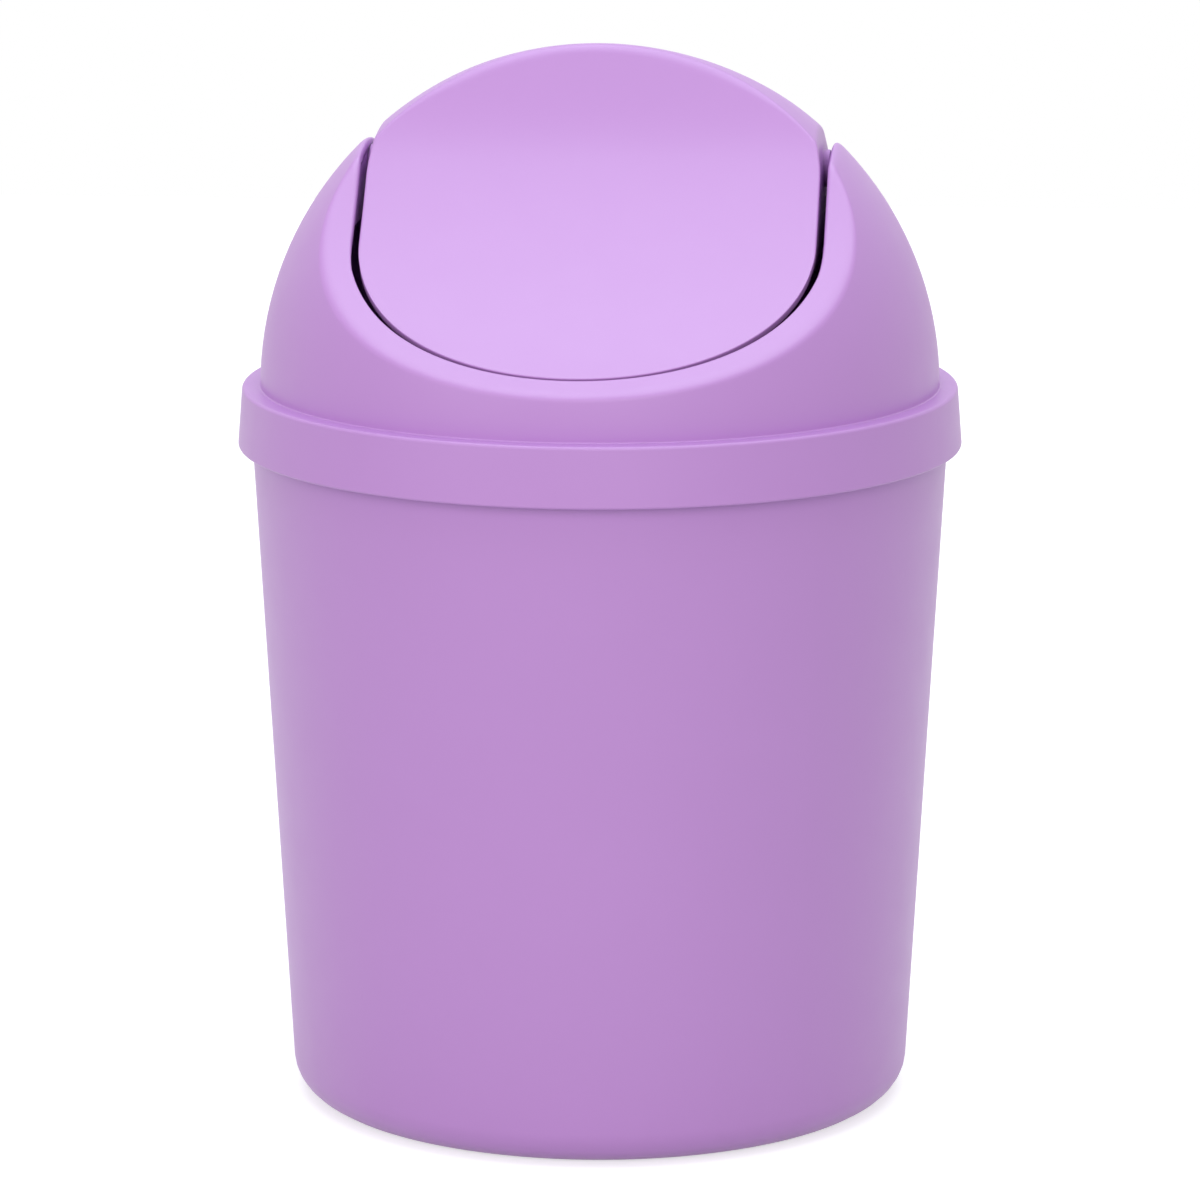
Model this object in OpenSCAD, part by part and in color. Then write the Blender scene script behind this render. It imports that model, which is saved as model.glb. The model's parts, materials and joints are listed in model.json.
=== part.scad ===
// Countertop trash can with a swing lid: a tapered bucket, a domed cover that
// drops over its rim, and a rocking flap that hangs by two moulded pins in the
// cover's ears.
//
// The origin is the centre of the foot, on the surface that the can stands on.
// +Z is up. The cover is scooped at the front (-Y) and at the back (+Y), and the
// flap swings about an axis along X.

/* [Bucket] */
// Height of the bucket, from the surface to the top of its rim
bucket_h = 138.5; // [110:0.5:180]
// Outer radius that the leaning wall would have at the surface
bucket_base_r = 60; // [50:0.5:75]
// Lean of the wall away from upright, in degrees
wall_lean = 3.2; // [1.5:0.1:6]
// Thickness of the bucket's wall and floor
bucket_wall = 1.5; // [1.2:0.1:2.2]
// Radius of the rounded edge round the base
base_round = 7; // [5:0.5:12]
// Height of the foot ring, which is also how far the floor is raised
foot_h = 1.6; // [0.8:0.1:3]
// Width of the flat ring that the can stands on
foot_w = 3; // [2:0.5:6]
// Height of the upright neck below the rim, which the cover drops over
neck_h = 9; // [6:0.5:9.5]

/* [Cover] */
// Thickness of the cover's walls
cover_wall = 1.5; // [1.2:0.1:2.2]
// Height of the collar round the cover's foot
collar_h = 11.5; // [10.5:0.5:16]
// How much wider the collar is at its lower edge than at its top
collar_flare = 0.9; // [0:0.1:2]
// Radius of the collar's rounded top edge
collar_round = 1.2; // [0.6:0.1:1.4]
// Radial play between the collar and the bucket's neck
neck_play = 0.35; // [0.2:0.05:0.6]
// Width of the flat ledge from the collar's top edge in to the dome
ledge_w = 3.5; // [3.2:0.1:5]
// How far the centre of the dome lies below the ledge
dome_sink = 0.4; // [0.2:0.1:0.9]
// Depth of the locating rib that hangs inside the bucket's rim
rib_h = 3; // [1.5:0.5:6]
// Radial play between the locating rib and the bucket's rim
rib_play = 0.4; // [0.25:0.05:0.6]

/* [Scoops and mouth] */
// Radius of the concave scoop that is cut across the dome, front and back
scoop_r = 139; // [110:1:200]
// Height above the dome's centre at which a scoop leaves the dome at the front
scoop_low = 8.9; // [6:0.1:13]
// Depth below the dome's top at which the two scoops would meet
scoop_drop = 1.2; // [0:0.1:3.6]
// Height above the dome's centre of the ball that the lip's lower arc lies on
mouth_rise = 1.9; // [0:0.1:3]
// Radial depth over which the dome rolls softly into a scoop
lip_blend = 2.2; // [1:0.1:3]
// Radius of the small round on the shell's edge at the mouth
lip_round = 0.5; // [0.3:0.1:0.7]
// Width of an ear, from the side of the dome in to the mouth
ear_w = 21.1; // [19.5:0.1:24]

/* [Swing flap] */
// Thickness of the flap's walls
flap_wall = 1.5; // [1.2:0.1:2]
// Gap between the flap's cheeks and the ears
cheek_gap = 1.35; // [0.8:0.05:2]
// Gap between the flap and the lip at the lowest point of the mouth
tip_gap = 0.5; // [0.4:0.05:1]
// Gap between the flap and the lip at the widest point of the mouth
corner_gap = 1; // [0.5:0.05:1.6]
// Rise of the flap's crown above the top of the dome
crown_rise = 0.5; // [0:0.1:3]
// How much smaller the ball of the crown is than the dome
crown_ease = 1.7; // [0:0.1:6]
// Half of the thickness of the ridge at the crown's top
ridge_half = 1.7; // [1.4:0.1:3]
// Steepness of the flap's faces just below the ridge, in degrees
ridge_slope = 66; // [60:1:75]
// Height over which a face bends from the ridge's slope into the scoop
face_blend = 3; // [1:0.5:5]
// Depth of the solid plastic under the crown's top
crown_depth = 3; // [2:0.5:6]

/* [Pivot] */
// Distance from the top of an ear's inner edge down to the swing axis
pivot_drop = 5.6; // [5:0.1:8]
// Radius of the flap's pins
pin_r = 2.2; // [1.8:0.1:3]
// Radial play of a pin in its hole
pin_play = 0.1; // [0.05:0.01:0.1]
// Length of the bevel at a pin's tip
pin_bevel = 0.6; // [0.3:0.1:0.8]
// Radius of the thrust pad round the root of a pin
pad_r = 3.6; // [3.2:0.1:5]
// Side play between a thrust pad and its ear
pad_play = 0.2; // [0.1:0.05:0.4]
// Distance from the swing axis down to the lower edge of an ear's web
web_drop = 9; // [6:0.5:10]
// Depth of the channel that guides a pin up its web
channel_depth = 0.7; // [0.4:0.1:0.9]
// Play of a pin across its channel, on each side
channel_play = 0.3; // [0.2:0.1:0.6]
// Height of the step that a pin snaps over, from the channel to the hole
snap_step = 1.4; // [1:0.1:2]
// Distance from the swing axis down to the lower edge of a cheek
cheek_drop = 13; // [4:0.5:14]
// Height above the swing axis at which the cheeks start to lean in
cheek_rise = 1.4; // [0:0.1:3]
// Lean of the top of a cheek away from upright, in degrees
cheek_lean = 10; // [0:1:14]

/* [Smoothness] */
// Number of meridians in the domed shell
meridians = 120; // [80:4:160]

/* [Hidden] */
$fn = 120;
lilac = [0.76, 0.58, 0.83];
lilac_pale = [0.82, 0.67, 0.9];
lilac_deep = [0.73, 0.53, 0.79];

// Play that keeps neighbouring faces of one moulding from lying in one plane
skin_step = 0.2;
// Steps in a small rounded corner
corner_steps = 8;
// Steps in a long curve
curve_steps = 32;
// Steps in the round on the shell's edge
round_steps = 4;
// Reach of a cutting solid past what it cuts
past = 10;

// Radii of the bucket's wall, neck and rim
function wall_r(z) = bucket_base_r + z * tan(wall_lean);
neck_z = bucket_h - neck_h;
neck_r = wall_r(neck_z);
neck_in_r = neck_r - bucket_wall;
floor_z = foot_h + bucket_wall;
inner_base_r = bucket_base_r - bucket_wall / cos(wall_lean);
inner_round = base_round - bucket_wall;
rim_round = bucket_wall / 4;

// Collar, ledge and dome, worked out from the bucket's neck
ledge_z = bucket_h + cover_wall;
collar_z = ledge_z - collar_h;
collar_top_r = neck_r + neck_play + cover_wall;
collar_low_r = collar_top_r + collar_flare;
dome_r = collar_top_r - ledge_w;
dome_z = ledge_z - dome_sink;
rib_out_r = neck_in_r - rib_play;
rib_in_r = dome_r - cover_wall - skin_step;

// Half of the clear width of the mouth, and heights above the dome's centre
mouth_half_w = dome_r - ear_w;
scoop_peak = dome_r - scoop_drop;
pivot_h = sqrt(dome_r * dome_r - mouth_half_w * mouth_half_w) - pivot_drop;
crown_h = dome_r + crown_rise;
crown_r = dome_r - crown_ease;

// Centre of the scoop's circle, seen from the side as [distance forward, height]
scoop_foot = [sqrt(dome_r * dome_r - scoop_low * scoop_low), scoop_low];
scoop_top = [0, scoop_peak];
scoop_chord = scoop_foot - scoop_top;
chord_side = [-scoop_chord.y, scoop_chord.x] / norm(scoop_chord);
scoop_reach = sqrt(scoop_r * scoop_r - scoop_chord * scoop_chord / 4);
scoop_c = (scoop_foot + scoop_top) / 2 + chord_side * scoop_reach;

// The lip's lower arc lies on a ball that touches the side lines of the mouth
mouth_c = [0, mouth_rise];
waist = norm(scoop_c - mouth_c) - scoop_r;
waist_y = scoop_c.x * waist / norm(scoop_c - mouth_c);
mouth_r = norm([mouth_half_w, waist]);
waist_azimuth = atan2(waist_y, mouth_half_w);

// Flap and pivot
flap_half_w = mouth_half_w - cheek_gap;
web_in_x = mouth_half_w + skin_step;
web_out_x = web_in_x + cover_wall;
bore_r = pin_r + pin_play;

// Smallest of two distances, rounded off where they are nearly the same
function soft_min(a, b, k) = min(a, b) - pow(max(k - abs(a - b), 0), 2) / (4 * k);
function soft_max(a, b, k) = -soft_min(-a, -b, k);

// Height of the scoop at a distance forward, for a scoop that is sunk by a depth
function scoop_height(y, sink) =
    scoop_c.y - sqrt(pow(scoop_r + sink, 2) - pow(scoop_c.x - y, 2));

// Distance forward of the scoop at a height
function scoop_forward(z, sink) =
    scoop_c.x - sqrt(max(pow(scoop_r + sink, 2) - pow(scoop_c.y - z, 2), 0));

// Distance from the dome's centre to the scoop, along an elevation and azimuth
function scoop_hit(elevation, azimuth, sink) =
    let (forward = cos(elevation) * abs(sin(azimuth)))
    let (rise = sin(elevation))
    let (a = forward * forward + rise * rise)
    let (b = forward * scoop_c.x + rise * scoop_c.y)
    let (c = scoop_c * scoop_c - pow(scoop_r + sink, 2))
    let (root = b * b - a * c)
    root > 0 && b > 0 ? (b - sqrt(root)) / a : 2 * dome_r;

// Distance from the dome's centre to the shell's surface, at a depth in its wall
function shell_r(elevation, azimuth, sink) =
    soft_min(dome_r - sink, scoop_hit(elevation, azimuth, sink), lip_blend);

// True where a point of the shell's surface is still outside the mouth
function outside_mouth(elevation, azimuth, sink) =
    let (r = shell_r(elevation, azimuth, sink))
    let (beside = r * cos(elevation) * abs(cos(azimuth)) > mouth_half_w)
    let (from_ball = norm([r * cos(elevation), r * sin(elevation) - mouth_rise]))
    let (below = forward_part(azimuth) && from_ball > mouth_r)
    beside || below;

// True for the meridians that end on the lip's lower arc
function forward_part(azimuth) = abs(sin(azimuth)) > sin(waist_azimuth);

// Elevation at which a meridian reaches the mouth, by halving an interval
function mouth_angle(azimuth, sink, low = 0, high = 80, rounds = 30) =
    let (mid = (low + high) / 2)
    rounds == 0 ? mid
    : outside_mouth(mid, azimuth, sink) ? mouth_angle(azimuth, sink, mid, high, rounds - 1)
    : mouth_angle(azimuth, sink, low, mid, rounds - 1);

// Elevation at which a meridian leaves the dome for the scoop
function crease_angle(azimuth, sink, low, high, rounds = 30) =
    let (mid = (low + high) / 2)
    rounds == 0 ? mid
    : scoop_hit(mid, azimuth, sink) > dome_r - sink
    ? crease_angle(azimuth, sink, mid, high, rounds - 1)
    : crease_angle(azimuth, sink, low, mid, rounds - 1);

function on_sphere(r, elevation, azimuth) =
    r * [cos(elevation) * cos(azimuth), cos(elevation) * sin(azimuth), sin(elevation)];

// Points of a circular arc, from one angle to another
function arc(centre, r, from, to, steps = corner_steps) =
    [for (i = [0:steps]) centre + r * [cos(from + (to - from) * i / steps),
                                       sin(from + (to - from) * i / steps)]];

// Centre of a round between a floor and a wall that leans outwards
function round_centre(r0, floor_h, round_r) =
    let (inset = round_r * (1 - sin(wall_lean)) / cos(wall_lean))
    [r0 + floor_h * tan(wall_lean) - inset, floor_h + round_r];

// ---- bucket ---------------------------------------------------------------

module bucket_profile() {
    outer = round_centre(bucket_base_r, 0, base_round);
    inner = round_centre(inner_base_r, floor_z, inner_round);
    foot_in_r = outer.x - foot_w;
    rim_in = [neck_in_r + rim_round, bucket_h - rim_round];
    rim_out = [neck_r - rim_round, bucket_h - rim_round];
    polygon(concat(
        [[0, foot_h], [foot_in_r - foot_h, foot_h], [foot_in_r, 0]],
        arc(outer, base_round, -90, -wall_lean),
        [[neck_r, neck_z]],
        arc(rim_out, rim_round, 0, 90),
        arc(rim_in, rim_round, 90, 180),
        [[neck_in_r, neck_z]],
        arc(inner, inner_round, -wall_lean, -90),
        [[0, floor_z]]
    ));
}

module bucket() {
    color(lilac_deep)
    rotate_extrude()
    bucket_profile();
}

// ---- domed cover ----------------------------------------------------------

// Elevation at which the shell starts, sunk a little into the ledge
shell_foot = -0.5;
// Rows of facets up the dome, and over the soft edge to the lip
dome_rows = 6;
lip_rows = 8;
// Elevation below the soft edge at which the fine rows start
lip_lead = 3.5;
// Elevation over which the surface's direction is measured at the mouth
lip_probe = 0.3;

function shell_point(elevation, azimuth, sink) =
    on_sphere(shell_r(elevation, azimuth, sink), elevation, azimuth);

// Elevations of a meridian's points: even steps up the dome, fine ones at the lip
function meridian_angles(azimuth, sink, top) =
    let (crease = crease_angle(azimuth, sink, 0, top))
    let (lead = crease - lip_lead)
    concat(
        [for (i = [0:dome_rows - 1]) shell_foot + (lead - shell_foot) * i / dome_rows],
        [for (i = [0:lip_rows]) lead + (top - lead) * i / lip_rows]
    );

function meridian(azimuth, sink, top) =
    [for (e = meridian_angles(azimuth, sink, top)) shell_point(e, azimuth, sink)];

function unit(v) = v / norm(v);

// Distance from a corner at which a round of a radius starts, between two directions
function round_reach(along, across, r) =
    r * sqrt((1 + along * across) / (1 - along * across));

// Curve that leaves one point and reaches another, drawn towards a corner
function bend(start, corner, end, steps) =
    [for (i = [1:steps])
        let (t = i / steps)
        pow(1 - t, 2) * start + 2 * t * (1 - t) * corner + t * t * end];

// Closed section of the shell at a meridian, with its outer edge rounded off
function shell_section(azimuth) =
    let (top = mouth_angle(azimuth, 0))
    let (corner = shell_point(top, azimuth, 0))
    let (inner = meridian(azimuth, cover_wall, mouth_angle(azimuth, cover_wall)))
    let (back = shell_point(top - lip_probe, azimuth, 0) - corner)
    let (across = unit(inner[len(inner) - 1] - corner))
    let (reach = round_reach(unit(back), across, lip_round))
    let (outer = meridian(azimuth, 0, top - lip_probe * reach / norm(back)))
    concat(
        outer,
        bend(outer[len(outer) - 1], corner, corner + across * reach, round_steps),
        reversed(inner)
    );

function reversed(list) = [for (i = [len(list) - 1:-1:0]) list[i]];

// The shell's skin is a ring of closed sections, one at each meridian
module shell() {
    sections = [for (i = [0:meridians - 1]) shell_section(360 * i / meridians)];
    around = len(sections[0]);
    corner = function (i, j) (i % meridians) * around + j % around;
    polyhedron(
        points = [for (section = sections) each section],
        faces = [
            for (i = [0:meridians - 1])
                for (j = [0:around - 1])
                    for (half = [0, 1])
                        half == 0
                        ? [corner(i, j), corner(i, j + 1), corner(i + 1, j + 1)]
                        : [corner(i, j), corner(i + 1, j + 1), corner(i + 1, j)]
        ]
    );
}

// Collar, ledge and locating rib, which carry the shell
module collar() {
    edge_r = cover_wall / 4;
    rib_low = bucket_h - rib_h;
    rotate_extrude()
    polygon(concat(
        [[rib_in_r, ledge_z], [rib_in_r, rib_low], [rib_out_r, rib_low], [rib_out_r, bucket_h]],
        [[collar_top_r - cover_wall, bucket_h]],
        [[collar_low_r - cover_wall, collar_z]],
        arc([collar_low_r - edge_r, collar_z + edge_r], edge_r, -90, 0),
        arc([collar_top_r - collar_round, ledge_z - collar_round], collar_round, 0, 90)
    ));
}

module scoop_cutters(sink) {
    for (side = [-1, 1])
        translate([0, side * scoop_c.x, scoop_c.y])
        rotate([0, 90, 0])
        cylinder(r = scoop_r + sink, h = 2 * dome_r + past, center = true, $fn = 2 * $fn);
}

// Flat web that closes the inner side of an ear and holds the pin's hole
module ear_web() {
    difference() {
        intersection() {
            sphere(r = dome_r - cover_wall / 2);
            translate([web_in_x, -dome_r, pivot_h - web_drop])
            cube([cover_wall, 2 * dome_r, dome_r]);
        }
        scoop_cutters(cover_wall / 2);
        pin_channel();
    }
}

// Shallow channel that guides a pin up the web until it snaps into its hole
module pin_channel() {
    channel_w = 2 * (pin_r + channel_play);
    channel_top = pivot_h - bore_r - snap_step;
    channel_low = pivot_h - web_drop - past;
    translate([web_in_x - past, -channel_w / 2, channel_low])
    cube([past + channel_depth, channel_w, channel_top - channel_low]);
}

module pin_hole() {
    translate([mouth_half_w - past / 2, 0, pivot_h])
    rotate([0, 90, 0])
    cylinder(r = bore_r, h = web_out_x - mouth_half_w + past / 2 + skin_step);
}

module domed_cover() {
    color(lilac)
    union() {
        collar();
        translate([0, 0, dome_z])
        difference() {
            union() {
                shell();
                ear_web();
                mirror([1, 0, 0]) ear_web();
            }
            pin_hole();
            mirror([1, 0, 0]) pin_hole();
        }
    }
}

// ---- swing flap -----------------------------------------------------------

// Distance forward of the flap's face at a height, for a depth in its wall
function face_forward(z, sink) =
    soft_max(
        scoop_forward(min(z, scoop_peak), sink),
        ridge_half - sink / sin(ridge_slope) + (crown_h - z) / tan(ridge_slope),
        face_blend
    );

// Wedge between the flap's two faces, seen from the side
module face_wedge(sink, low, high) {
    rows = [for (i = [0:curve_steps]) low + (high - low) * i / curve_steps];
    polygon(concat(
        [for (z = rows) [face_forward(z, sink), z]],
        [for (z = reversed(rows)) [-face_forward(z, sink), z]]
    ));
}

module along_x(half_w) {
    rotate([90, 0, 90])
    translate([0, 0, -half_w])
    linear_extrude(height = 2 * half_w)
    children();
}

// Distance forward at which the scoop meets a ball about the mouth's centre
function scoop_tip(ball_r, low = waist_y, high = dome_r, rounds = 30) =
    let (mid = (low + high) / 2)
    let (inside = norm([mid, scoop_height(mid, 0)] - mouth_c) < ball_r)
    rounds == 0 ? mid
    : inside ? scoop_tip(ball_r, mid, high, rounds - 1)
    : scoop_tip(ball_r, low, mid, rounds - 1);

// Outline of the flap's edge, as [distance from the swing axis, half width]: it
// follows the lip's lower arc at a gap that narrows towards the tip
function edge_outline() =
    let (tip_y = scoop_tip(mouth_r - tip_gap))
    [for (i = [0:curve_steps])
        let (s = sin(90 * i / curve_steps))
        let (y = waist_y + (tip_y - waist_y) * s)
        let (z = scoop_height(y, 0))
        let (ball_r = mouth_r - corner_gap + (corner_gap - tip_gap) * s)
        let (rise = z - mouth_rise)
        [norm([y, pivot_h - z]), sqrt(max(ball_r * ball_r - y * y - rise * rise, 0))]];

// Solid of revolution about the swing axis that the flap's edge turns in
module swing_envelope() {
    upper = [for (p = edge_outline()) if (p.y < flap_half_w) p];
    lower = [for (p = reversed(upper)) if (p.y > 0) [p.x, -p.y]];
    shoulder = upper[0].x;
    translate([0, 0, pivot_h])
    rotate([0, 90, 0])
    rotate_extrude()
    polygon(concat(
        [[0, flap_half_w], [shoulder, flap_half_w]],
        upper,
        lower,
        [[shoulder, -flap_half_w], [0, -flap_half_w]]
    ));
}

// Solid between the outer faces of the cheeks, which lean in at the top
module cheek_slab(sink) {
    half_w = flap_half_w - sink;
    lean_z = pivot_h + cheek_rise;
    top_half_w = half_w - (crown_h - lean_z) * tan(cheek_lean);
    side = [[half_w, 0], [half_w, lean_z], [top_half_w, crown_h]];
    rotate([90, 0, 0])
    linear_extrude(height = 2 * dome_r, center = true)
    polygon(concat(side, reversed([for (p = side) [-p.x, p.y]])));
}

// Room under the flap: between its walls, and open to the sides below the cheeks
module flap_hollow() {
    intersection() {
        crown_ball(flap_wall);
        cheek_slab(flap_wall);
        along_x(flap_half_w)
        face_wedge(flap_wall, 0, crown_h - crown_depth);
    }
    along_x(mouth_half_w + past)
    face_wedge(flap_wall, 0, pivot_h - cheek_drop);
}

module crown_ball(sink) {
    translate([0, 0, crown_h - crown_r])
    sphere(r = crown_r - sink);
}

module pin() {
    root = flap_half_w - flap_wall / 2;
    pad_end = mouth_half_w - pad_play;
    tip = web_out_x - skin_step;
    translate([0, 0, pivot_h])
    rotate([0, 90, 0])
    union() {
        translate([0, 0, root])
        cylinder(r = pad_r, h = pad_end - root);
        translate([0, 0, root])
        cylinder(r = pin_r, h = tip - pin_bevel - root);
        translate([0, 0, tip - pin_bevel])
        cylinder(r1 = pin_r, r2 = pin_r - pin_bevel, h = pin_bevel);
    }
}

module swing_flap() {
    color(lilac_pale)
    translate([0, 0, dome_z])
    union() {
        difference() {
            intersection() {
                crown_ball(0);
                cheek_slab(0);
                along_x(mouth_half_w)
                face_wedge(0, scoop_low / 2, crown_h + ridge_half / 2);
                swing_envelope();
            }
            flap_hollow();
        }
        pin();
        mirror([1, 0, 0]) pin();
    }
}

bucket();
domed_cover();
swing_flap();
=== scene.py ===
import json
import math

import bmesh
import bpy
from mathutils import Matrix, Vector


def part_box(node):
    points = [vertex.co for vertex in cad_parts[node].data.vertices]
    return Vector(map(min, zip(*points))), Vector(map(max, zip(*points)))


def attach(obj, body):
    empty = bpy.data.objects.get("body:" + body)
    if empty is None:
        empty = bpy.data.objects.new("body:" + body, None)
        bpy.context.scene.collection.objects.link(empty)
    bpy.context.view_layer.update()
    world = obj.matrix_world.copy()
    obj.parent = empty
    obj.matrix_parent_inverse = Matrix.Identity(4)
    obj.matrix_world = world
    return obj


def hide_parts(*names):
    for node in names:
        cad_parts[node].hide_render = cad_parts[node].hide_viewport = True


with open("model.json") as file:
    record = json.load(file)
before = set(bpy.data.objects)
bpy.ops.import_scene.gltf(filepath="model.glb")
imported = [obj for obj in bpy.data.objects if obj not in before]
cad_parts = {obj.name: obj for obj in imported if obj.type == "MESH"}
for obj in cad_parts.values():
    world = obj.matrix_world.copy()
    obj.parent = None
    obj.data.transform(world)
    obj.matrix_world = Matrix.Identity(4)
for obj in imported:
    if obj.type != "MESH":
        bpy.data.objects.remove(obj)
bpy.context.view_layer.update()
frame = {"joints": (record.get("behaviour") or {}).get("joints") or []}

# A countertop trash can with a swing lid, in one satin lilac plastic: a tapered bucket, a domed
# cover with a scooped mouth, and a flap that rocks in the cover's two ears.
# Shapes are worked out in millimetres and degrees, and scaled to metres when a mesh is made.
# The camera, the lamps and the floor are placed in metres.

MM = 0.001

# ---- sizes, in millimetres and degrees -------------------------------------------------

# Bucket
BASE_R = 60
WALL_LEAN = 3.2
WALL = 1.5
BASE_ROUND = 7
FOOT_H = 1.6
FOOT_W = 3
FOOT_ROUND = 0.4
NECK_H = 9
BUCKET_RIM_ROUND = 0.55

# Cover. The scoops' circles start at SCOOP_LOW above the dome's centre and meet SCOOP_DROP
# below its top. The mouth's lower arcs lie on a ball whose centre is MOUTH_RISE above the dome's.
NECK_PLAY = 0.35
COLLAR_FLARE = 0.9
COLLAR_ROUND = 0.7
COLLAR_FOOT_ROUND = 0.45
COLLAR_INNER_ROUND = 0.3
LEDGE_W = 3.5
DOME_SINK = 0.4
RIB_H = 3
RIB_PLAY = 0.4
SCOOP_R = 139
SCOOP_LOW = 8.9
SCOOP_DROP = 1.2
MOUTH_RISE = 1.9
EAR_W = 21.1
FOOT_FILLET = 0.3
# Radius of the lip's edge, and radial depth over which the dome rolls into a scoop, at the ears
# and at the front, and the azimuths between which one passes into the other
EDGE_ROUND_EAR, EDGE_ROUND_FRONT, EDGE_ROUND_IN = 1.15, 0.4, 0.3
BLEND_EAR, BLEND_FRONT = 0.5, 1.7
EAR_AZIMUTH, FRONT_AZIMUTH = 8, 45
# Elevations: the foot of the shell, the dense rows below the crease, a small step down from the
# lip, and an angle that lies past the lip on every meridian
SHELL_FOOT = 2.5
CREASE_LEAD = 4
LIP_PROBE = 0.2
PAST_LIP = 80

# Flap: its gaps to the cover, at the cheeks and below its edge at the tip and the waist
CHEEK_GAP = 1.35
TIP_GAP = 0.2
CORNER_GAP = 1.0
# The crown's ball rises above the dome's and is a little smaller. A ridge bounds it in front and
# behind, and the hollow's roof lies CROWN_DEPTH below its top.
CROWN_RISE = 0.5
CROWN_EASE = 1.7
CROWN_DEPTH = 3
RIDGE_HALF = 1.7
RIDGE_SLOPE = 66
FACE_BLEND = 3
# The ridge's round, along the crown and down the face, the share of it left at the cheeks, the
# share of the half width where it starts to shrink, and half the strip of crown that it leaves
CROWN_ROUND_TOP = 1.5
CROWN_ROUND_FACE = 2.2
CROWN_ROUND_LEFT = 0.35
CROWN_ROUND_FADE = 0.6
CROWN_STRIP = 0.2
# A cheek reaches from below the pins to the crown, and leans in from a little above them. The
# hollow's side wall runs into it with a draft.
CHEEK_DROP = 17.5
CHEEK_RISE = 1.4
CHEEK_LEAN = 10
LEAN_BLEND = 1.5
CHEEK_ROUND = 0.45
SOLE_ROUND = 0.5
SOLE_SAG = 1.2
DRAFT = 0.4
HOLLOW_BEVEL = 0.4
# The rim's round, and the largest share of the wall that it takes
RIM_ROUND = 0.3
RIM_SHARE = 0.42
# Where a cheek's round sinks the outer face, the inner one comes out by this many times less
INNER_EASE = 3
# The flap's lower edge is more than this far below the swing axis
EDGE_DROP = 5

# Pivot. A snap step is left between a channel and its hole. SKIN_STEP keeps faces apart that would
# fall together, and OVERCUT is how far a cut starts off its wall.
PIN_R = 2.2
PIN_PLAY = 0.1
PIN_BEVEL = 0.6
PAD_R = 3.6
PAD_PLAY = 0.2
PAD_BEVEL = 0.15
WEB_DROP = 9
CHANNEL_DEPTH = 0.7
CHANNEL_PLAY = 0.3
SNAP_STEP = 1.4
SKIN_STEP = 0.2
OVERCUT = 5

# ---- fineness of the meshes ------------------------------------------------------------

FACETS_ROUND = 288
PIN_FACETS = 72
ARC_STEPS = 7
# Longest straight edges along the profiles of the bucket and the collar
BUCKET_EDGE = 6
COLLAR_EDGE = 3
# Rows of the dome's shell, from its foot to below the crease and on to the lip, and points along
# a web's arch
SHELL_LOW_STEPS = 16
SHELL_HIGH_STEPS = 30
WEB_STEPS = 60
# Points of a section of the flap, from the hollow round the rim and up to the crown
ROOF_STEPS = 4
WALL_STEPS = 28
LEG_STEPS = 8
RIM_IN_STEPS = 4
RIM_OUT_STEPS = 5
FACE_STEPS = 60
RIDGE_STEPS = 10
CROWN_STEPS = 8
# Sections of the flap, from its middle to a cheek, over the cheek's sole and over its outer edge
SPAN_STEPS = 48
SOLE_STEPS = 4
CHEEK_STEPS = 9
OUTLINE_STEPS = 240
# Rounds of the searches for a place where two shapes meet
HALVINGS = 40
PASSES = 20


def sin(angle):
    return math.sin(math.radians(angle))


def cos(angle):
    return math.cos(math.radians(angle))


def tan(angle):
    return math.tan(math.radians(angle))


# ---- measures worked out from the frame and the sizes ----------------------------------

BUCKET_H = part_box("bucket")[1].z / MM
COLLAR_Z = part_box("domed_cover")[0].z / MM
NECK_Z = BUCKET_H - NECK_H
NECK_R = BASE_R + NECK_Z * tan(WALL_LEAN)
NECK_IN_R = NECK_R - WALL
FLOOR_Z = FOOT_H + WALL
LEDGE_Z = BUCKET_H + WALL
COLLAR_TOP_R = NECK_R + NECK_PLAY + WALL
COLLAR_LOW_R = COLLAR_TOP_R + COLLAR_FLARE
DOME_R = COLLAR_TOP_R - LEDGE_W
DOME_Z = LEDGE_Z - DOME_SINK
RIB_OUT_R = NECK_IN_R - RIB_PLAY
RIB_IN_R = DOME_R - WALL - SKIN_STEP

# The mouth, the swing axis and the crown. PIVOT_H and CROWN_H are heights above the dome's
# centre, as LEAN_H is below, and AXIS_Z is the height of the swing axis above the floor.
MOUTH_HALF_W = DOME_R - EAR_W
SWING = next(joint for joint in frame["joints"] if joint["name"] == "flap_swing")
PIVOT_H = SWING["pos_m"][2] / MM - DOME_Z
AXIS_Z = PIVOT_H + DOME_Z
CROWN_H = DOME_R + CROWN_RISE
CROWN_R = DOME_R - CROWN_EASE


def scoop_centre():
    """Centre of a scoop's circle, as (distance forward, height above the dome's centre)."""
    low = Vector((math.sqrt(DOME_R ** 2 - SCOOP_LOW ** 2), SCOOP_LOW))
    peak = Vector((0, DOME_R - SCOOP_DROP))
    chord = low - peak
    outward = Vector((-chord.y, chord.x)).normalized()
    return (low + peak) / 2 + outward * math.sqrt(SCOOP_R ** 2 - chord.length_squared / 4)


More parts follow.
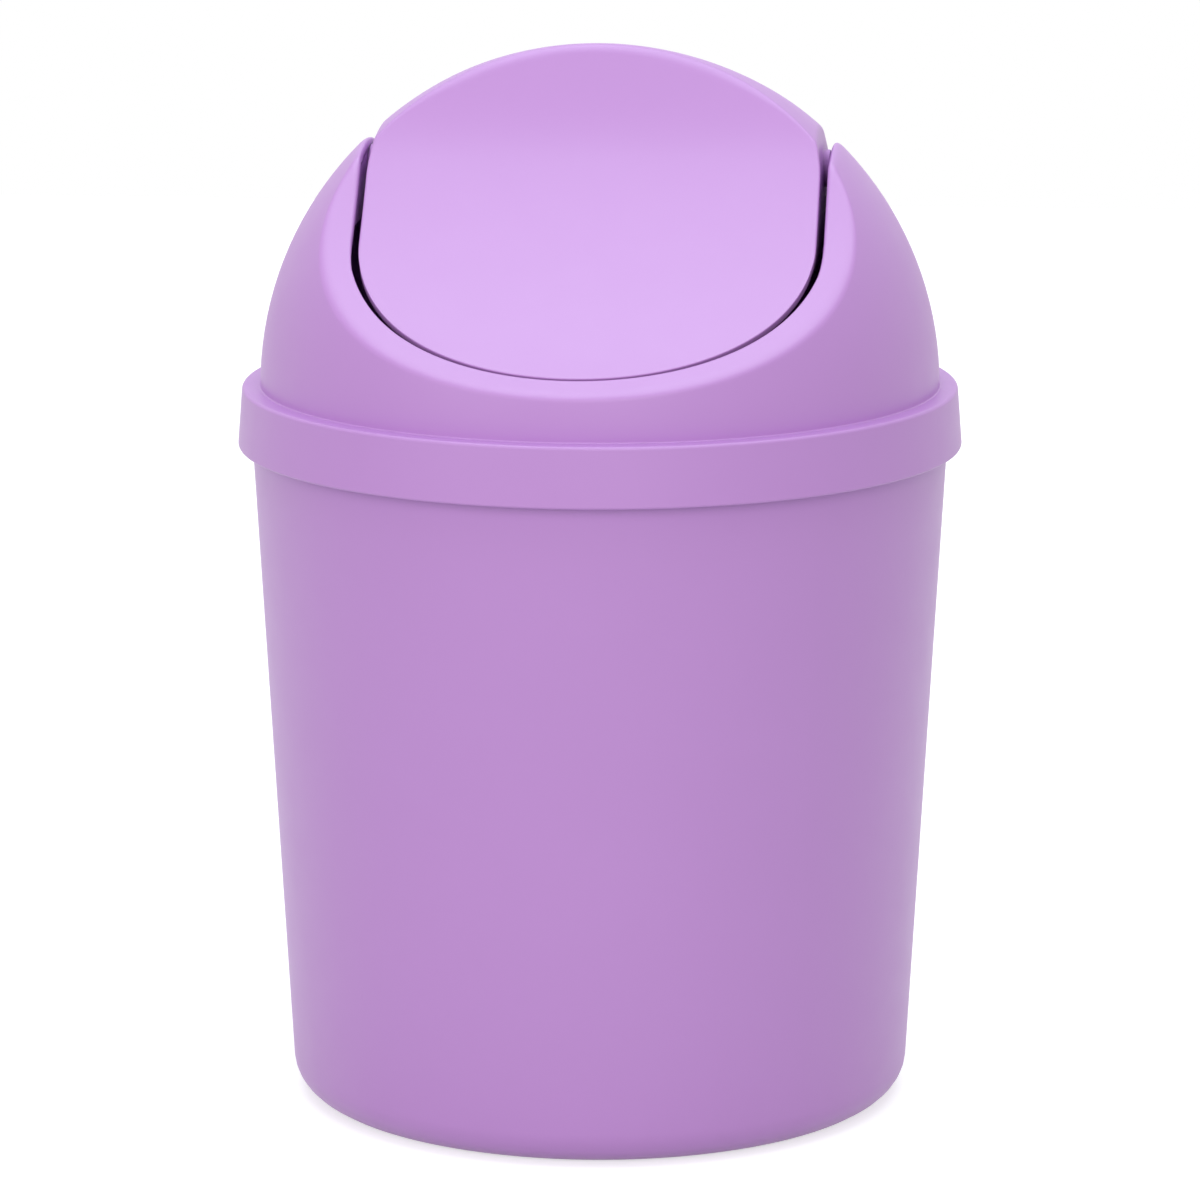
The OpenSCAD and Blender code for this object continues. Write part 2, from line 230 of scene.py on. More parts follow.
# The ball of the mouth touches its side lines at the waist, where a scoop is nearest to the
# ball's centre
SCOOP_C = scoop_centre()
MOUTH_C = Vector((0, 0, MOUTH_RISE))
SCOOP_ARM = SCOOP_C - Vector((0, MOUTH_RISE))
WAIST = SCOOP_ARM.length - SCOOP_R
WAIST_Y = SCOOP_C.x * WAIST / SCOOP_ARM.length
WAIST_AZIMUTH = math.degrees(math.atan2(WAIST_Y, MOUTH_HALF_W))
MOUTH_R = math.hypot(MOUTH_HALF_W, WAIST)
FLAP_HALF_W = MOUTH_HALF_W - CHEEK_GAP
WEB_IN_X = MOUTH_HALF_W + SKIN_STEP
WEB_OUT_X = WEB_IN_X + WALL
LEAN_H = PIVOT_H + CHEEK_RISE


# ---- curves ----------------------------------------------------------------------------

def spread(low, high, steps):
    """Evenly spaced numbers from low to high, both included."""
    return [low + (high - low) * i / steps for i in range(steps + 1)]


def halve(test, low, high):
    """Where test turns from true to false between low and high."""
    for _ in range(HALVINGS):
        mid = (low + high) / 2
        low, high = (mid, high) if test(mid) else (low, mid)
    return low


def soft_min(a, b, width):
    """The smaller of two numbers, rounded off below it where they differ by less than width."""
    return min(a, b) - max(width - abs(a - b), 0) ** 2 / (4 * width)


def soft_max(a, b, width):
    """The larger of two numbers, rounded off above it where they differ by less than width."""
    return -soft_min(-a, -b, width)


def ease(low, high, x):
    """Smooth step from 0 at low to 1 at high."""
    t = min(max((x - low) / (high - low), 0), 1)
    return t * t * (3 - 2 * t)


def bend(start, corner, end, steps=ARC_STEPS):
    """Points of a smooth curve that leaves start and reaches end, pulled to corner."""
    return [start * (1 - t) ** 2 + corner * 2 * t * (1 - t) + end * t * t
            for t in spread(0, 1, steps)]


def round_reach(along, across, radius):
    """Distance from a corner at which a round of a radius starts, between two directions."""
    level = along.normalized().dot(across.normalized())
    return radius * math.sqrt((1 + level) / (1 - level))


def rounded(corners):
    """Polyline through corners given as (x, y, radius), each turned into an arc of its radius."""
    points = []
    for i, (x, y, radius) in enumerate(corners):
        here = Vector((x, y))
        if not radius:
            points.append(here)
            continue
        back = (Vector(corners[i - 1][:2]) - here).normalized()
        on = (Vector(corners[(i + 1) % len(corners)][:2]) - here).normalized()
        half = back.angle(on) / 2
        reach = radius / math.tan(half)
        centre = here + (back + on).normalized() * radius / math.sin(half)
        first, last = here + back * reach - centre, here + on * reach - centre
        turn = first.angle_signed(last)
        for t in spread(0, 1, ARC_STEPS):
            c, s = math.cos(-turn * t), math.sin(-turn * t)
            points.append(centre + Vector((first.x * c - first.y * s, first.x * s + first.y * c)))
    return points


def refined(points, longest):
    """The same polyline, with legs over the longest length cut into equal parts."""
    out = [points[0]]
    for a, b in zip(points, points[1:]):
        parts = max(1, math.ceil((b - a).length / longest))
        out += [a.lerp(b, t) for t in spread(0, 1, parts)[1:]]
    return out


# ---- meshes ----------------------------------------------------------------------------

def make_object(name, points, faces):
    """A closed, smooth-shaded mesh from points in millimetres, with its faces turned outwards."""
    mesh = bpy.data.meshes.new(name)
    mesh.from_pydata([Vector(p) * MM for p in points], [], faces)
    work = bmesh.new()
    work.from_mesh(mesh)
    bmesh.ops.recalc_face_normals(work, faces=work.faces)
    work.to_mesh(mesh)
    work.free()
    mesh.shade_smooth()
    obj = bpy.data.objects.new(name, mesh)
    bpy.context.scene.collection.objects.link(obj)
    return obj


def loft(name, sections, closed, cap=None):
    """Skin over sections, which are closed loops of as many points each. The loft either closes
    on itself or is capped at both ends. The cap's faces are given as places in a section, and
    without them it is one face."""
    around = len(sections[0])
    rows = len(sections)
    points = [p for section in sections for p in section]
    faces = []
    for i in range(rows if closed else rows - 1):
        a, b = i * around, (i + 1) % rows * around
        for j in range(around):
            k = (j + 1) % around
            faces.append((a + j, a + k, b + k, b + j))
    if not closed:
        for start in (0, (rows - 1) * around):
            faces += [tuple(start + i for i in face) for face in cap or [range(around)]]
    return make_object(name, points, faces)


def lathe(name, profile):
    """Solid of revolution about Z, from a profile that starts and ends on the axis."""
    ring = profile[1:-1]
    points = [(0, 0, profile[0].y), (0, 0, profile[-1].y)]
    for i in range(FACETS_ROUND):
        azimuth = 360 * i / FACETS_ROUND
        points += [(p.x * cos(azimuth), p.x * sin(azimuth), p.y) for p in ring]
    faces = []
    for i in range(FACETS_ROUND):
        a = 2 + i * len(ring)
        b = 2 + (i + 1) % FACETS_ROUND * len(ring)
        faces.append((0, a, b))
        faces.append((1, b + len(ring) - 1, a + len(ring) - 1))
        faces += [(a + j, a + j + 1, b + j + 1, b + j) for j in range(len(ring) - 1)]
    return make_object(name, points, faces)


def prism(name, outline, x_low, x_high):
    """Outline in (forward, height), drawn out along X."""
    return loft(name, [[(x, p.x, p.y) for p in outline] for x in (x_low, x_high)], False)


def round_bar(name, profile):
    """Solid of revolution about the swing axis, from (distance along X, radius)."""
    turns = [360 * i / PIN_FACETS for i in range(PIN_FACETS)]
    sections = [[(x, r * cos(t), AXIS_Z + r * sin(t)) for t in turns] for x, r in profile]
    return loft(name, sections, False)


def combine(target, tools, operation):
    """Joins tools to the target, or cuts them out of it, and removes them."""
    for tool in tools:
        change = target.modifiers.new(operation, "BOOLEAN")
        change.object = tool
        change.operation = operation
        change.solver = "MANIFOLD"
    evaluated = target.evaluated_get(bpy.context.evaluated_depsgraph_get())
    mesh = bpy.data.meshes.new_from_object(evaluated)
    target.modifiers.clear()
    target.data = mesh
    for tool in tools:
        bpy.data.objects.remove(tool)


# Over 50, the larger faces at a corner take more of its shading
LARGE_FACE_WEIGHT = 60


def finish_surface(obj, material, body, node):
    """Puts a piece in place of its node, with its plastic and even shading on its flat faces."""
    obj.data.materials.clear()
    obj.data.materials.append(material)
    shading = obj.modifiers.new("even_shading", "WEIGHTED_NORMAL")
    shading.weight = LARGE_FACE_WEIGHT
    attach(obj, body)
    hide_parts(node)


# ---- bucket ----------------------------------------------------------------------------

def bucket_profile():
    """The bucket as (radius, height), from the axis under its floor round to the floor's top."""
    inner_base_r = BASE_R - WALL / cos(WALL_LEAN)
    corner_r = BASE_R - BASE_ROUND * (1 - sin(WALL_LEAN)) / cos(WALL_LEAN)
    foot_in_r = corner_r - FOOT_W
    corners = [
        (0, FOOT_H, 0),
        (foot_in_r - FOOT_H, FOOT_H, FOOT_ROUND),
        (foot_in_r, 0, FOOT_ROUND),
        (BASE_R, 0, BASE_ROUND),
        (NECK_R, NECK_Z, 0),
        (NECK_R, BUCKET_H, BUCKET_RIM_ROUND),
        (NECK_IN_R, BUCKET_H, BUCKET_RIM_ROUND),
        (NECK_IN_R, NECK_Z, 0),
        (inner_base_r + FLOOR_Z * tan(WALL_LEAN), FLOOR_Z, BASE_ROUND - WALL),
        (0, FLOOR_Z, 0),
    ]
    return refined(rounded(corners), BUCKET_EDGE)


# ---- domed cover -----------------------------------------------------------------------

def scoop_hit(elevation, azimuth, sink):
    """Distance from the dome's centre to a scoop in a direction, or one far off if it misses."""
    forward = cos(elevation) * abs(sin(azimuth))
    rise = sin(elevation)
    a = forward ** 2 + rise ** 2
    b = forward * SCOOP_C.x + rise * SCOOP_C.y
    root = b * b - a * (SCOOP_C.length_squared - (SCOOP_R + sink) ** 2)
    return (b - math.sqrt(root)) / a if root > 0 and b > 0 else 2 * DOME_R


def scoop_height(y, sink=0):
    """Height of a scoop above the dome's centre, at a distance forward and a depth in its wall."""
    return SCOOP_C.y - math.sqrt((SCOOP_R + sink) ** 2 - (SCOOP_C.x - y) ** 2)


def ear_to_front(azimuth, at_ear, at_front):
    """Value that passes smoothly from the ears to the front and back of the cover."""
    from_ear = math.degrees(math.asin(min(abs(sin(azimuth)), 1)))
    return at_ear + (at_front - at_ear) * ease(EAR_AZIMUTH, FRONT_AZIMUTH, from_ear)


def shell_point(elevation, azimuth, sink):
    """Point of the cover's domed surface, above the dome's centre, at a depth in its wall."""
    blend = ear_to_front(azimuth, BLEND_EAR, BLEND_FRONT)
    r = soft_min(DOME_R - sink, scoop_hit(elevation, azimuth, sink), blend)
    level = r * cos(elevation)
    return Vector((level * cos(azimuth), level * sin(azimuth), r * sin(elevation)))


def outside_mouth(point, azimuth):
    """Whether a point of the shell is beside the mouth, or outside the ball of its lower arcs."""
    forward = abs(sin(azimuth)) > sin(WAIST_AZIMUTH)
    return abs(point.x) > MOUTH_HALF_W or (forward and (point - MOUTH_C).length > MOUTH_R)


def mouth_angle(azimuth, sink):
    """Elevation at which a meridian reaches the mouth."""
    return halve(lambda e: outside_mouth(shell_point(e, azimuth, sink), azimuth), 0, PAST_LIP)


def crease_angle(azimuth, sink, top):
    """Elevation at which a meridian leaves the dome for the scoop."""
    return halve(lambda e: scoop_hit(e, azimuth, sink) > DOME_R - sink, 0, top)


def meridian(azimuth, sink, end):
    """Points up the domed surface, from its foot to an elevation, dense where it rolls over."""
    start = crease_angle(azimuth, sink, end) - CREASE_LEAD
    low = spread(SHELL_FOOT, start, SHELL_LOW_STEPS)
    high = spread(start, end, SHELL_HIGH_STEPS)
    return [shell_point(e, azimuth, sink) for e in low[:-1] + high]


def collar_profile():
    """Outline of the rib, collar and ledge, from the inner foot of the dome to the outer one."""
    inner, outer = (shell_point(SHELL_FOOT, 0, sink) for sink in (WALL, 0))
    corners = [
        (inner.x, inner.z + DOME_Z, 0),
        (RIB_IN_R, BUCKET_H, 0),
        (RIB_IN_R, BUCKET_H - RIB_H, COLLAR_INNER_ROUND),
        (RIB_OUT_R, BUCKET_H - RIB_H, COLLAR_INNER_ROUND),
        (RIB_OUT_R, BUCKET_H, COLLAR_INNER_ROUND),
        (COLLAR_TOP_R - WALL, BUCKET_H, COLLAR_INNER_ROUND),
        (COLLAR_LOW_R - WALL, COLLAR_Z, COLLAR_INNER_ROUND),
        (COLLAR_LOW_R, COLLAR_Z, COLLAR_FOOT_ROUND),
        (COLLAR_TOP_R, LEDGE_Z, COLLAR_ROUND),
        (DOME_R, LEDGE_Z, FOOT_FILLET),
        (outer.x, outer.z + DOME_Z, 0),
    ]
    return refined(rounded(corners), COLLAR_EDGE)[1:-1]


def lip_corner(azimuth, sink):
    """The lip on one face of the shell, as (elevation, corner, a small way down the face)."""
    end = mouth_angle(azimuth, sink)
    corner = shell_point(end, azimuth, sink)
    return end, corner, shell_point(end - LIP_PROBE, azimuth, sink) - corner


def rounded_face(azimuth, sink, lip, across, radius):
    """Points up one face of the shell and over its side of the lip's edge."""
    end, corner, down = lip
    reach = round_reach(down, across, radius)
    row = meridian(azimuth, sink, end - LIP_PROBE * reach / down.length)
    return row[:-1] + bend(row[-1], corner, corner + across * reach)


def shell_section(azimuth):
    """The shell on one meridian, up its outer face, over the rounded lip and down the inner one."""
    outer_lip = lip_corner(azimuth, 0)
    inner_lip = lip_corner(azimuth, WALL)
    across = (inner_lip[1] - outer_lip[1]).normalized()
    edge_round = ear_to_front(azimuth, EDGE_ROUND_EAR, EDGE_ROUND_FRONT)
    outer = rounded_face(azimuth, 0, outer_lip, across, edge_round)
    inner = rounded_face(azimuth, WALL, inner_lip, -across, EDGE_ROUND_IN)
    return outer + inner[::-1]


def cover_section(azimuth, collar):
    """Closed section of the cover on one meridian."""
    ring = [Vector((p.x * cos(azimuth), p.x * sin(azimuth), p.y)) for p in collar]
    return ring + [p + Vector((0, 0, DOME_Z)) for p in shell_section(azimuth)]


def meridian_azimuths():
    """Azimuths of the cover's meridians, nearly even, with one through each waist corner."""
    quarter = FACETS_ROUND // 4
    early = round(quarter * WAIST_AZIMUTH / 90)
    first = spread(0, WAIST_AZIMUTH, early)[:-1] + spread(WAIST_AZIMUTH, 90, quarter - early)
    half = first + [180 - a for a in reversed(first[:-1])]
    return half[:-1] + [a + 180 for a in half[:-1]]


def web_outline():
    """Outline of the flat web behind an ear, as (forward, height above the floor). Its arch
    lies in the middle of the shell's wall."""
    sink = WALL / 2
    low = PIVOT_H - WEB_DROP
    ball = math.sqrt((DOME_R - sink) ** 2 - WEB_OUT_X ** 2)

    def arch(y):
        return min(scoop_height(abs(y), sink), math.sqrt(max(ball ** 2 - y * y, 0)))

    reach = halve(lambda y: arch(y) > low, 0, ball)
    return [Vector((y, arch(y) + DOME_Z)) for y in spread(-reach, reach, WEB_STEPS)]


def add_webs(cover):
    """The webs behind the ears, each with a hole for a pin and a channel that leads up to it."""
    outline = web_outline()
    bore_r = PIN_R + PIN_PLAY
    half = PIN_R + CHANNEL_PLAY
    top = AXIS_Z - bore_r - SNAP_STEP
    low = AXIS_Z - WEB_DROP - OVERCUT
    channel = [Vector(corner) for corner in ((-half, low), (half, low), (half, top), (-half, top))]
    webs, cuts = [], []
    for side in (-1, 1):
        webs.append(prism("web", outline, side * WEB_IN_X, side * WEB_OUT_X))
        hole_ends = side * (MOUTH_HALF_W - OVERCUT), side * (WEB_OUT_X + SKIN_STEP)
        cuts.append(round_bar("hole", [(x, bore_r) for x in hole_ends]))
        channel_ends = side * (WEB_IN_X - OVERCUT), side * (WEB_IN_X + CHANNEL_DEPTH)
        cuts.append(prism("channel", channel, *channel_ends))
    combine(cover, webs, "UNION")
    combine(cover, cuts, "DIFFERENCE")


def make_cover():
    """The domed cover: collar, ledge, rib and shell in one loft round Z, and the webs."""
    collar = collar_profile()
    sections = [cover_section(azimuth, collar) for azimuth in meridian_azimuths()]
    cover = loft("cover_shell", sections, True)
    add_webs(cover)
    return cover


# ---- swing flap ------------------------------------------------------------------------

def face_forward(z, sink):
    """Distance forward of the flap's face at a height above the dome's centre."""
    level = SCOOP_C.y - min(z, DOME_R - SCOOP_DROP)
    scoop = SCOOP_C.x - math.sqrt(max((SCOOP_R + sink) ** 2 - level ** 2, 0))
    ridge = RIDGE_HALF - sink / sin(RIDGE_SLOPE) + (CROWN_H - z) / tan(RIDGE_SLOPE)
    return soft_max(scoop, ridge, FACE_BLEND)


def face_point(z, sink):
    """Point of the flap's face at a height and a depth in its wall, as (forward, height)."""
    return Vector((face_forward(z, sink), z))


def edge_outline():
    """The flap's lower edge as (half width, distance from the swing axis), from tip to waist."""
    def from_mouth_centre(y):
        return math.hypot(y, scoop_height(y) - MOUTH_RISE)

    tip_y = halve(lambda y: from_mouth_centre(y) < MOUTH_R - TIP_GAP, WAIST_Y, DOME_R)
    points = []
    for t in spread(90, 0, OUTLINE_STEPS):
        y = WAIST_Y + (tip_y - WAIST_Y) * sin(t)
        ball = MOUTH_R - CORNER_GAP + (CORNER_GAP - TIP_GAP) * sin(t)
        half_w = math.sqrt(max(ball ** 2 - from_mouth_centre(y) ** 2, 0))
        if not points or half_w > points[-1][0]:
            points.append((half_w, math.hypot(y, PIVOT_H - scoop_height(y))))
    return points


def swing_radius(outline, x):
    """Distance of the flap's lower edge from the swing axis, at a distance from the middle."""
    for (x0, r0), (x1, r1) in zip(outline, outline[1:]):
        if x <= x1:
            return r0 + (r1 - r0) * max(x - x0, 0) / (x1 - x0)
    return outline[-1][1]


def edge_point(radius, sink):
    """Point of the flap's face at a distance from the swing axis, as (forward, height)."""
    def farther(z):
        return math.hypot(face_forward(z, sink), PIVOT_H - z) > radius

    return face_point(halve(farther, 0, PIVOT_H - EDGE_DROP), sink)


def leaned(x, z):
    """Distance from the middle of a point of the flap, drawn in where the cheeks lean."""
    above = soft_max(z - LEAN_H, 0, LEAN_BLEND)
    return x * (1 - above * tan(CHEEK_LEAN) / FLAP_HALF_W)


def crown_height(x, y, sink):
    """Height of the crown's ball above the dome's centre."""
    z = CROWN_H
    for _ in range(PASSES):
        level = (CROWN_R - sink) ** 2 - leaned(x, z) ** 2 - y ** 2
        z = CROWN_H - CROWN_R + math.sqrt(level)
    return z


def crown_corner(x, sink):
    """Where the flap's face meets the crown, as (forward, height)."""
    y = RIDGE_HALF
    for _ in range(PASSES):
        z = crown_height(x, y, sink)
        y = face_forward(z, sink)
    return Vector((y, z))


def flap_outside(x, foot, inset):
    """Points up the flap's face from a height, over the rounded ridge to the crown's middle."""
    corner = crown_corner(x, inset)
    share = 1 - (1 - CROWN_ROUND_LEFT) * ease(CROWN_ROUND_FADE, 1, x / FLAP_HALF_W)
    below = corner.y - CROWN_ROUND_FACE * share
    face = [face_point(z, inset) for z in spread(foot, below, FACE_STEPS)[1:]]
    ridge = max(corner.x - CROWN_ROUND_TOP * share, CROWN_STRIP)
    crown = [Vector((y, crown_height(x, y, inset))) for y in spread(ridge, 0, CROWN_STEPS)]
    return face + bend(face[-1], corner, crown[0], RIDGE_STEPS)[1:] + crown[1:]


def hollow_side(x, low, depth):
    """Points from the middle of the hollow's roof down the face's inner side to a height."""
    roof = min(CROWN_H - CROWN_DEPTH, crown_height(x, 0, WALL))
    wall = [face_point(z, depth) for z in spread(roof - HOLLOW_BEVEL, low, WALL_STEPS)]
    return [Vector((y, roof)) for y in spread(0, wall[0].x - HOLLOW_BEVEL, ROOF_STEPS)] + wall


def cheek_sole(low, depth):
    """Points of a cheek's sagging lower edge, from its middle to the face's inner side."""
    reach = face_point(low, depth).x
    shares = spread(0, 1, ROOF_STEPS + 1 + WALL_STEPS)
    return [Vector((t * reach, low - SOLE_SAG * (1 - t * t))) for t in shares]


def flap_section(x, outline, inset, hollow, sole):
    """Closed section of the flap at a distance from the middle. Its outer faces are sunk by
    inset. It is hollow up to the crown, or a solid cheek above the height sole."""
    depth = WALL - inset / INNER_EASE
    radius = swing_radius(outline, x) - inset
    edge_out, edge_in = edge_point(radius, inset), edge_point(radius, depth)
    thick = edge_in - edge_out
    soft = min(RIM_ROUND, thick.length * RIM_SHARE)
    end = thick.normalized() * soft
    foot_in, foot_out = edge_in.y + soft / 2, edge_out.y + soft / 2
    rim = bend(face_point(foot_in, depth), edge_in, edge_in - end, RIM_IN_STEPS)
    rim += bend(edge_out + end, edge_out, face_point(foot_out, inset), RIM_OUT_STEPS)

    leg_top = max(sole, foot_in + soft)
    inside = hollow_side(x, leg_top, depth) if hollow else cheek_sole(leg_top, depth)
    legs = [face_point(z, depth) for z in spread(leg_top, foot_in, LEG_STEPS)[1:-1]]
    half = inside + legs + rim + flap_outside(x, foot_out, inset)
    loop = half[:-1] + [Vector((-p.x, p.y)) for p in half[:0:-1]]
    return [Vector((leaned(x, p.y), -p.x, p.y + DOME_Z)) for p in loop]


def flap_stations():
    """Places of the flap's sections, as (distance from the middle, inset, hollow, sole)."""
    inner_x = FLAP_HALF_W - WALL
    sole = PIVOT_H - CHEEK_DROP
    stations = [((inner_x - DRAFT) * sin(t), 0, True, sole) for t in spread(0, 90, SPAN_STEPS)]
    for t in spread(0, 90, SOLE_STEPS):
        x = inner_x + SOLE_ROUND * (1 - cos(t))
        stations.append((x, 0, False, sole + SOLE_ROUND * (1 - sin(t))))
    for t in spread(0, 90, CHEEK_STEPS)[1:]:
        x = FLAP_HALF_W - CHEEK_ROUND * (1 - sin(t))
        inset = CHEEK_ROUND * (1 - cos(t))
        stations.append((x, inset, False, sole + SOLE_ROUND * (1 - cos(t))))
    return stations


def cheek_cap(section):
    """Faces over a cheek: a flat one up to where it starts to lean in, and rows above it."""
    count = len(section)
    low = next(i for i, p in enumerate(section) if p.z > DOME_Z + LEAN_H - LEAN_BLEND)
    flat = [*range(low + 1), *range(count - low, count)]
    rows = [(i, i + 1, count - i - 1, count - i) for i in range(low, count // 2 - 1)]
    return [flat, *rows, (count // 2 - 1, count // 2, count // 2 + 1)]


def add_pins(flap):
    """A thrust pad and a pin with a bevelled tip on each cheek."""
    root = FLAP_HALF_W - WALL / 2
    pad_end = MOUTH_HALF_W - PAD_PLAY
    tip = WEB_OUT_X - SKIN_STEP
    profile = [
        (root, PAD_R),
        (pad_end - PAD_BEVEL, PAD_R),
        (pad_end, PAD_R - PAD_BEVEL),
        (pad_end, PIN_R + PAD_BEVEL),
        (pad_end + PAD_BEVEL, PIN_R),
        (tip - PIN_BEVEL, PIN_R),
        (tip, PIN_R - PIN_BEVEL),
    ]
    pins = [round_bar("pin", [(side * x, r) for x, r in profile]) for side in (-1, 1)]
    combine(flap, pins, "UNION")


def make_flap():
    """The swing flap: one loft from cheek to cheek, and its pins."""
    outline = edge_outline()
    right = [flap_section(x, outline, inset, hollow, sole)
             for x, inset, hollow, sole in flap_stations()]
    left = [[Vector((-p.x, p.y, p.z)) for p in section] for section in right[:0:-1]]
    flap = loft("flap_shell", left + right, False, cheek_cap(right[-1]))
    add_pins(flap)
    return flap


# ---- material --------------------------------------------------------------------------

LILAC = (0.525, 0.255, 0.635)
PLASTIC_IOR = 1.49
PLASTIC_SHINE = 0.65
ROUGHNESS_LOW, ROUGHNESS_HIGH = 0.38, 0.46
# How far the colour strays both ways, and how strong and how deep the grain is, in metres
TINT = 0.02
GRAIN_STRENGTH = 0.12
GRAIN_DEPTH = 0.00003
# Noises of the tint, the gloss and the grain, as (cells per metre, detail)
TINT_NOISE = (28, 3)
GLOSS_NOISE = (160, 4)
GRAIN_NOISE = (2600, 2)


def satin_plastic(name, colour):
    """Moulded polypropylene: a soft satin with a fine, even grain and faint flow marks."""
    material = bpy.data.materials.new(name)
    material.use_nodes = True
    nodes, links = material.node_tree.nodes, material.node_tree.links
    shader = nodes["Principled BSDF"]
    shader.inputs["IOR"].default_value = PLASTIC_IOR
    shader.inputs["Specular IOR Level"].default_value = PLASTIC_SHINE
    place = nodes.new("ShaderNodeTexCoord")

    def noise(scale, detail):
        node = nodes.new("ShaderNodeTexNoise")
        node.inputs["Scale"].default_value = scale
        node.inputs["Detail"].default_value = detail
        links.new(place.outputs["Object"], node.inputs["Vector"])
        return node.outputs["Fac"]

    # A mix of colours has its factor in socket 0, its colours in 6 and 7 and its result in 2
    tint = nodes.new("ShaderNodeMix")
    tint.data_type = "RGBA"
    tint.inputs[6].default_value = (*[c * (1 - TINT) for c in colour], 1)
    tint.inputs[7].default_value = (*[c * (1 + TINT) for c in colour], 1)
    links.new(noise(*TINT_NOISE), tint.inputs[0])
    links.new(tint.outputs[2], shader.inputs["Base Color"])

    gloss = nodes.new("ShaderNodeMapRange")
    gloss.inputs["To Min"].default_value = ROUGHNESS_LOW
    gloss.inputs["To Max"].default_value = ROUGHNESS_HIGH
    links.new(noise(*GLOSS_NOISE), gloss.inputs["Value"])
    links.new(gloss.outputs["Result"], shader.inputs["Roughness"])

    grain = nodes.new("ShaderNodeBump")
    grain.inputs["Strength"].default_value = GRAIN_STRENGTH
    grain.inputs["Distance"].default_value = GRAIN_DEPTH
    links.new(noise(*GRAIN_NOISE), grain.inputs["Height"])
    links.new(grain.outputs["Normal"], shader.inputs["Normal"])
    return material


# ---- stage, light and camera -----------------------------------------------------------

WHITE = (1, 1, 1)

# The camera, fitted to the photograph, with its lens and sensor in millimetres
CAMERA_AZIMUTH = 5.1
CAMERA_DISTANCE = 1.1578
CAMERA_HEIGHT = 0.3429
CAMERA_TARGET = Vector((0, 0, 0.0969))
CAMERA_LENS = 182.2
CAMERA_SENSOR = 36

# Lamps, as (name, place, size, power, colour), which all face one point in the object
LAMP_TARGET = Vector((0, 0, 0.1))
LAMPS = (
    ("top_light", (0, 0.1, 1.4), 1.4, 13.4, (0.82, 1, 0.96)),
    ("left_light", (-1, -1.3, 0.7), 1, 4.4, WHITE),
    ("front_light", (0.3, -1.7, 0.9), 1, 8.2, WHITE),
)

# The world's light on the object, and the floor, which glows only where it is seen
WORLD_LIGHT = 0.5
FLOOR_HALF = 1.2
FLOOR_GREY = (0.6, 0.6, 0.6)
FLOOR_ROUGHNESS = 0.9
FLOOR_GLOW = 0.62


def face_to(thing, target):
    """Turns a camera or a lamp so that it faces a point."""
    aim = target - thing.location
    thing.rotation_euler = aim.to_track_quat("-Z", "Y").to_euler()


def make_camera():
    """The camera at the photograph's viewing angle."""
    data = bpy.data.cameras.new("camera")
    data.lens = CAMERA_LENS
    data.sensor_width = CAMERA_SENSOR
    camera = bpy.data.objects.new("camera", data)
    camera.location = (CAMERA_DISTANCE * sin(CAMERA_AZIMUTH),
                       -CAMERA_DISTANCE * cos(CAMERA_AZIMUTH), CAMERA_HEIGHT)
    face_to(camera, CAMERA_TARGET)
    bpy.context.scene.collection.objects.link(camera)
    bpy.context.scene.camera = camera


def make_lamp(name, place, size, power, colour):
    """A soft square lamp."""
    data = bpy.data.lights.new(name, "AREA")
    data.size = size
    data.energy = power
    data.color = colour
    lamp = bpy.data.objects.new(name, data)
    lamp.location = place
    face_to(lamp, LAMP_TARGET)
    bpy.context.scene.collection.objects.link(lamp)


def seen_by_camera(nodes, links):
    """A socket that is 1 for what the camera sees, directly, in a gloss or through glass."""
    path = nodes.new("ShaderNodeLightPath")
    seen = path.outputs["Is Camera Ray"]
    for kind in ("Is Glossy Ray", "Is Transmission Ray"):
        either = nodes.new("ShaderNodeMath")
        either.operation = "MAXIMUM"
        links.new(seen, either.inputs[0])
        links.new(path.outputs[kind], either.inputs[1])
        seen = either.outputs[0]
    return seen


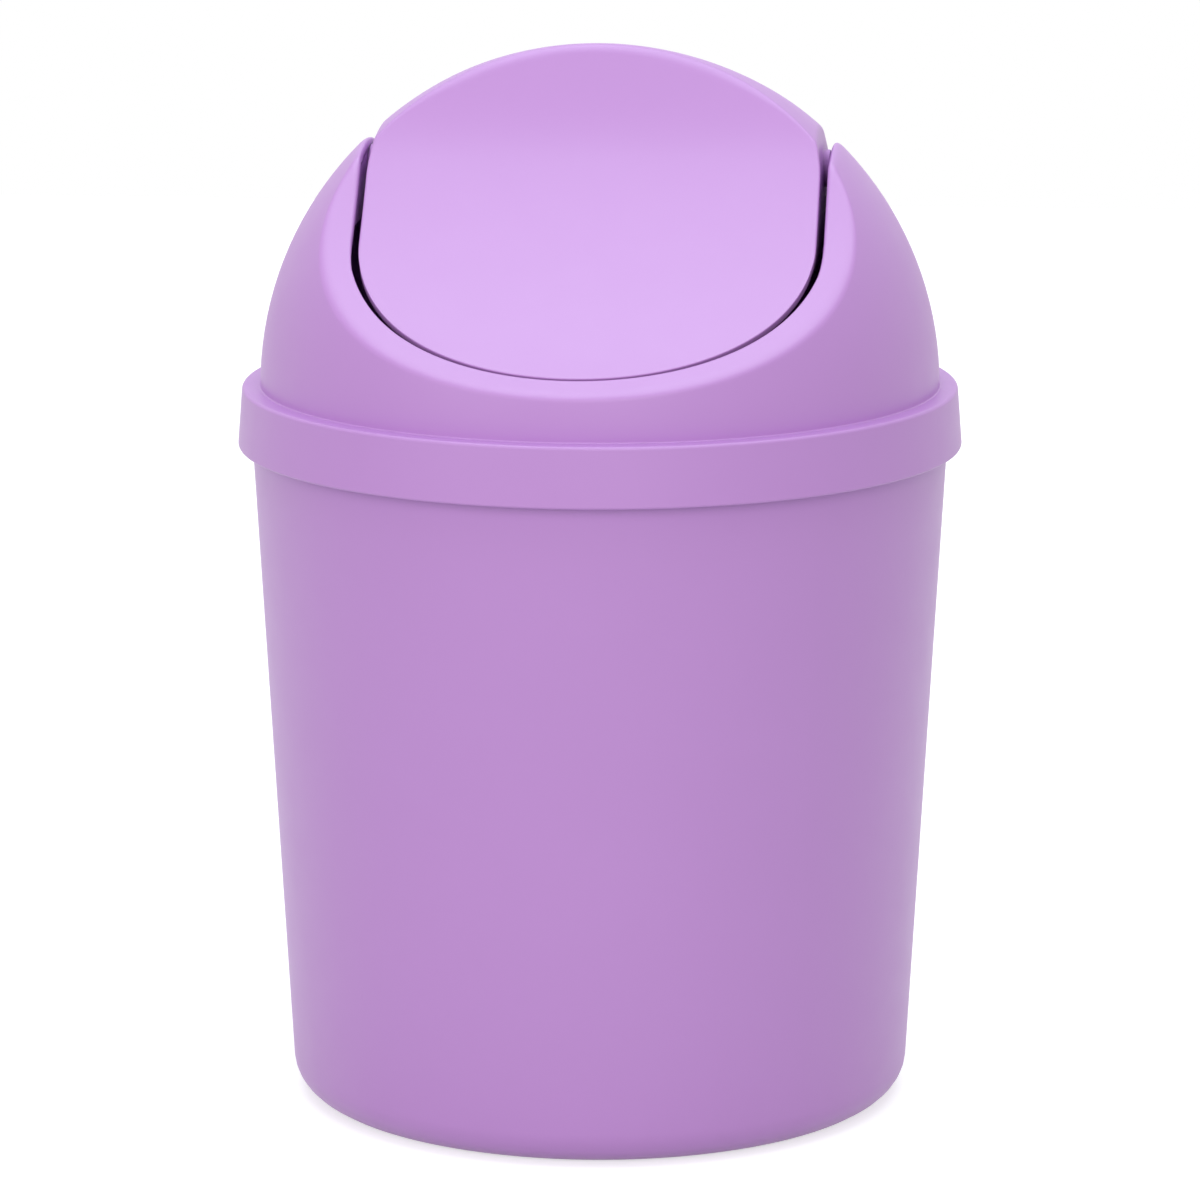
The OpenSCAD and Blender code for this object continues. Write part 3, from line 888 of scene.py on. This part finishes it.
def make_world():
    """An even light from all sides, which is white where it is seen."""
    world = bpy.data.worlds.new("studio")
    bpy.context.scene.world = world
    world.use_nodes = True
    nodes, links = world.node_tree.nodes, world.node_tree.links
    level = nodes.new("ShaderNodeMapRange")
    level.inputs["To Min"].default_value = WORLD_LIGHT
    level.inputs["To Max"].default_value = 1
    links.new(seen_by_camera(nodes, links), level.inputs["Value"])
    back = nodes["Background"]
    back.inputs["Color"].default_value = (*WHITE, 1)
    links.new(level.outputs["Result"], back.inputs["Strength"])


def make_floor():
    """A pale floor that reads as white round the object and keeps its shadow."""
    mesh = bpy.data.meshes.new("floor")
    corners = [(x * FLOOR_HALF, y * FLOOR_HALF, 0) for x, y in ((-1, -1), (1, -1), (1, 1), (-1, 1))]
    mesh.from_pydata(corners, [], [(0, 1, 2, 3)])
    floor = bpy.data.objects.new("floor", mesh)
    bpy.context.scene.collection.objects.link(floor)
    material = bpy.data.materials.new("pale_floor")
    material.use_nodes = True
    nodes, links = material.node_tree.nodes, material.node_tree.links
    shader = nodes["Principled BSDF"]
    shader.inputs["Base Color"].default_value = (*FLOOR_GREY, 1)
    shader.inputs["Roughness"].default_value = FLOOR_ROUGHNESS
    shader.inputs["Emission Color"].default_value = (*WHITE, 1)
    glow = nodes.new("ShaderNodeMath")
    glow.operation = "MULTIPLY"
    glow.inputs[1].default_value = FLOOR_GLOW
    links.new(seen_by_camera(nodes, links), glow.inputs[0])
    links.new(glow.outputs[0], shader.inputs["Emission Strength"])
    mesh.materials.append(material)


# ---- the scene -------------------------------------------------------------------------

bpy.context.scene.view_settings.view_transform = "Standard"
make_camera()
make_world()
for lamp in LAMPS:
    make_lamp(*lamp)
make_floor()

bucket = lathe("bucket_body", bucket_profile())
finish_surface(bucket, satin_plastic("bucket_satin", LILAC), "bucket", "bucket")
cover = make_cover()
finish_surface(cover, satin_plastic("cover_satin", LILAC), "cover", "domed_cover")
flap = make_flap()
finish_surface(flap, satin_plastic("flap_satin", LILAC), "flap", "swing_flap")
